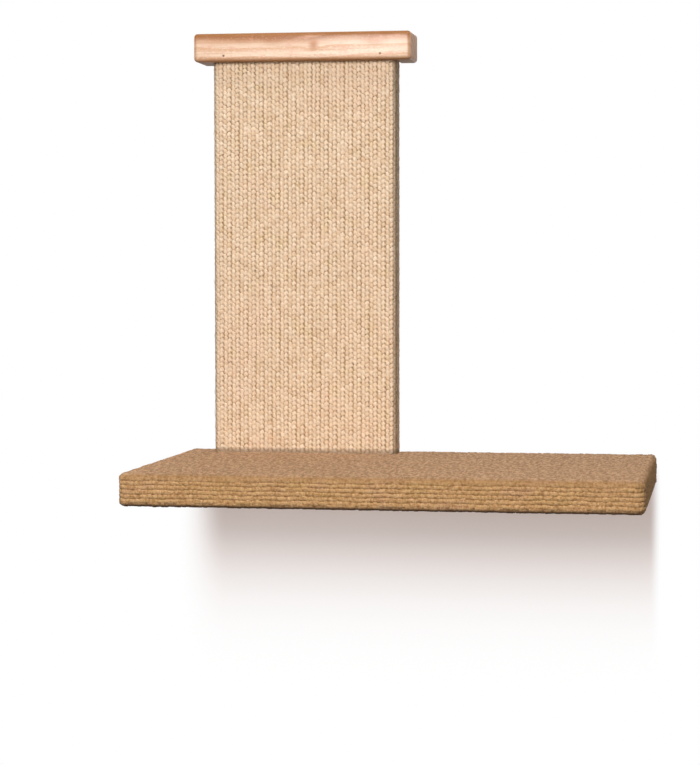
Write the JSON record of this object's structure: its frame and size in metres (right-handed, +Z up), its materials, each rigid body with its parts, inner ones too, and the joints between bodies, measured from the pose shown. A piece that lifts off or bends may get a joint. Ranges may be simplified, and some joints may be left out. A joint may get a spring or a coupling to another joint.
{
  "type": "wall-mounted cat scratching post",
  "caption": "Wall-hung cat scratching post: a flat board wrapped in woven sisal, with a wood cap on top and an off-centre carpeted shelf at its foot as a perch.",
  "frame": {"origin": "on the wall plane, midway between the entry holes of the two keyhole hangers on the back of the post", "axes": "+Z up, +Y into the wall so that the front faces -Y, +X to the right seen from the front"},
  "size_m": [0.457, 0.26, 0.432],
  "materials": {
    "cap_wood": "satin varnish",
    "board_wood": "bare plywood",
    "sisal": "coarse woven",
    "carpet": "low loop pile",
    "zinc_steel": "zinc plated",
    "wire_steel": "bright wire"
  },
  "bodies": {
    "root": {"post_board": "board_wood", "sisal_mat": "sisal", "sisal_staples": "wire_steel", "top_cap": "cap_wood", "cap_brads": "wire_steel", "shelf_board": "board_wood", "shelf_carpet": "carpet", "carpet_staples": "wire_steel", "bracket_left": "zinc_steel", "bracket_right": "zinc_steel", "bracket_post_screws": "zinc_steel", "bracket_shelf_screws": "zinc_steel", "shelf_screws": "zinc_steel", "hanger_plate_left": "zinc_steel", "hanger_plate_right": "zinc_steel", "hanger_plate_screws": "zinc_steel"}
  },
  "joints": []
}
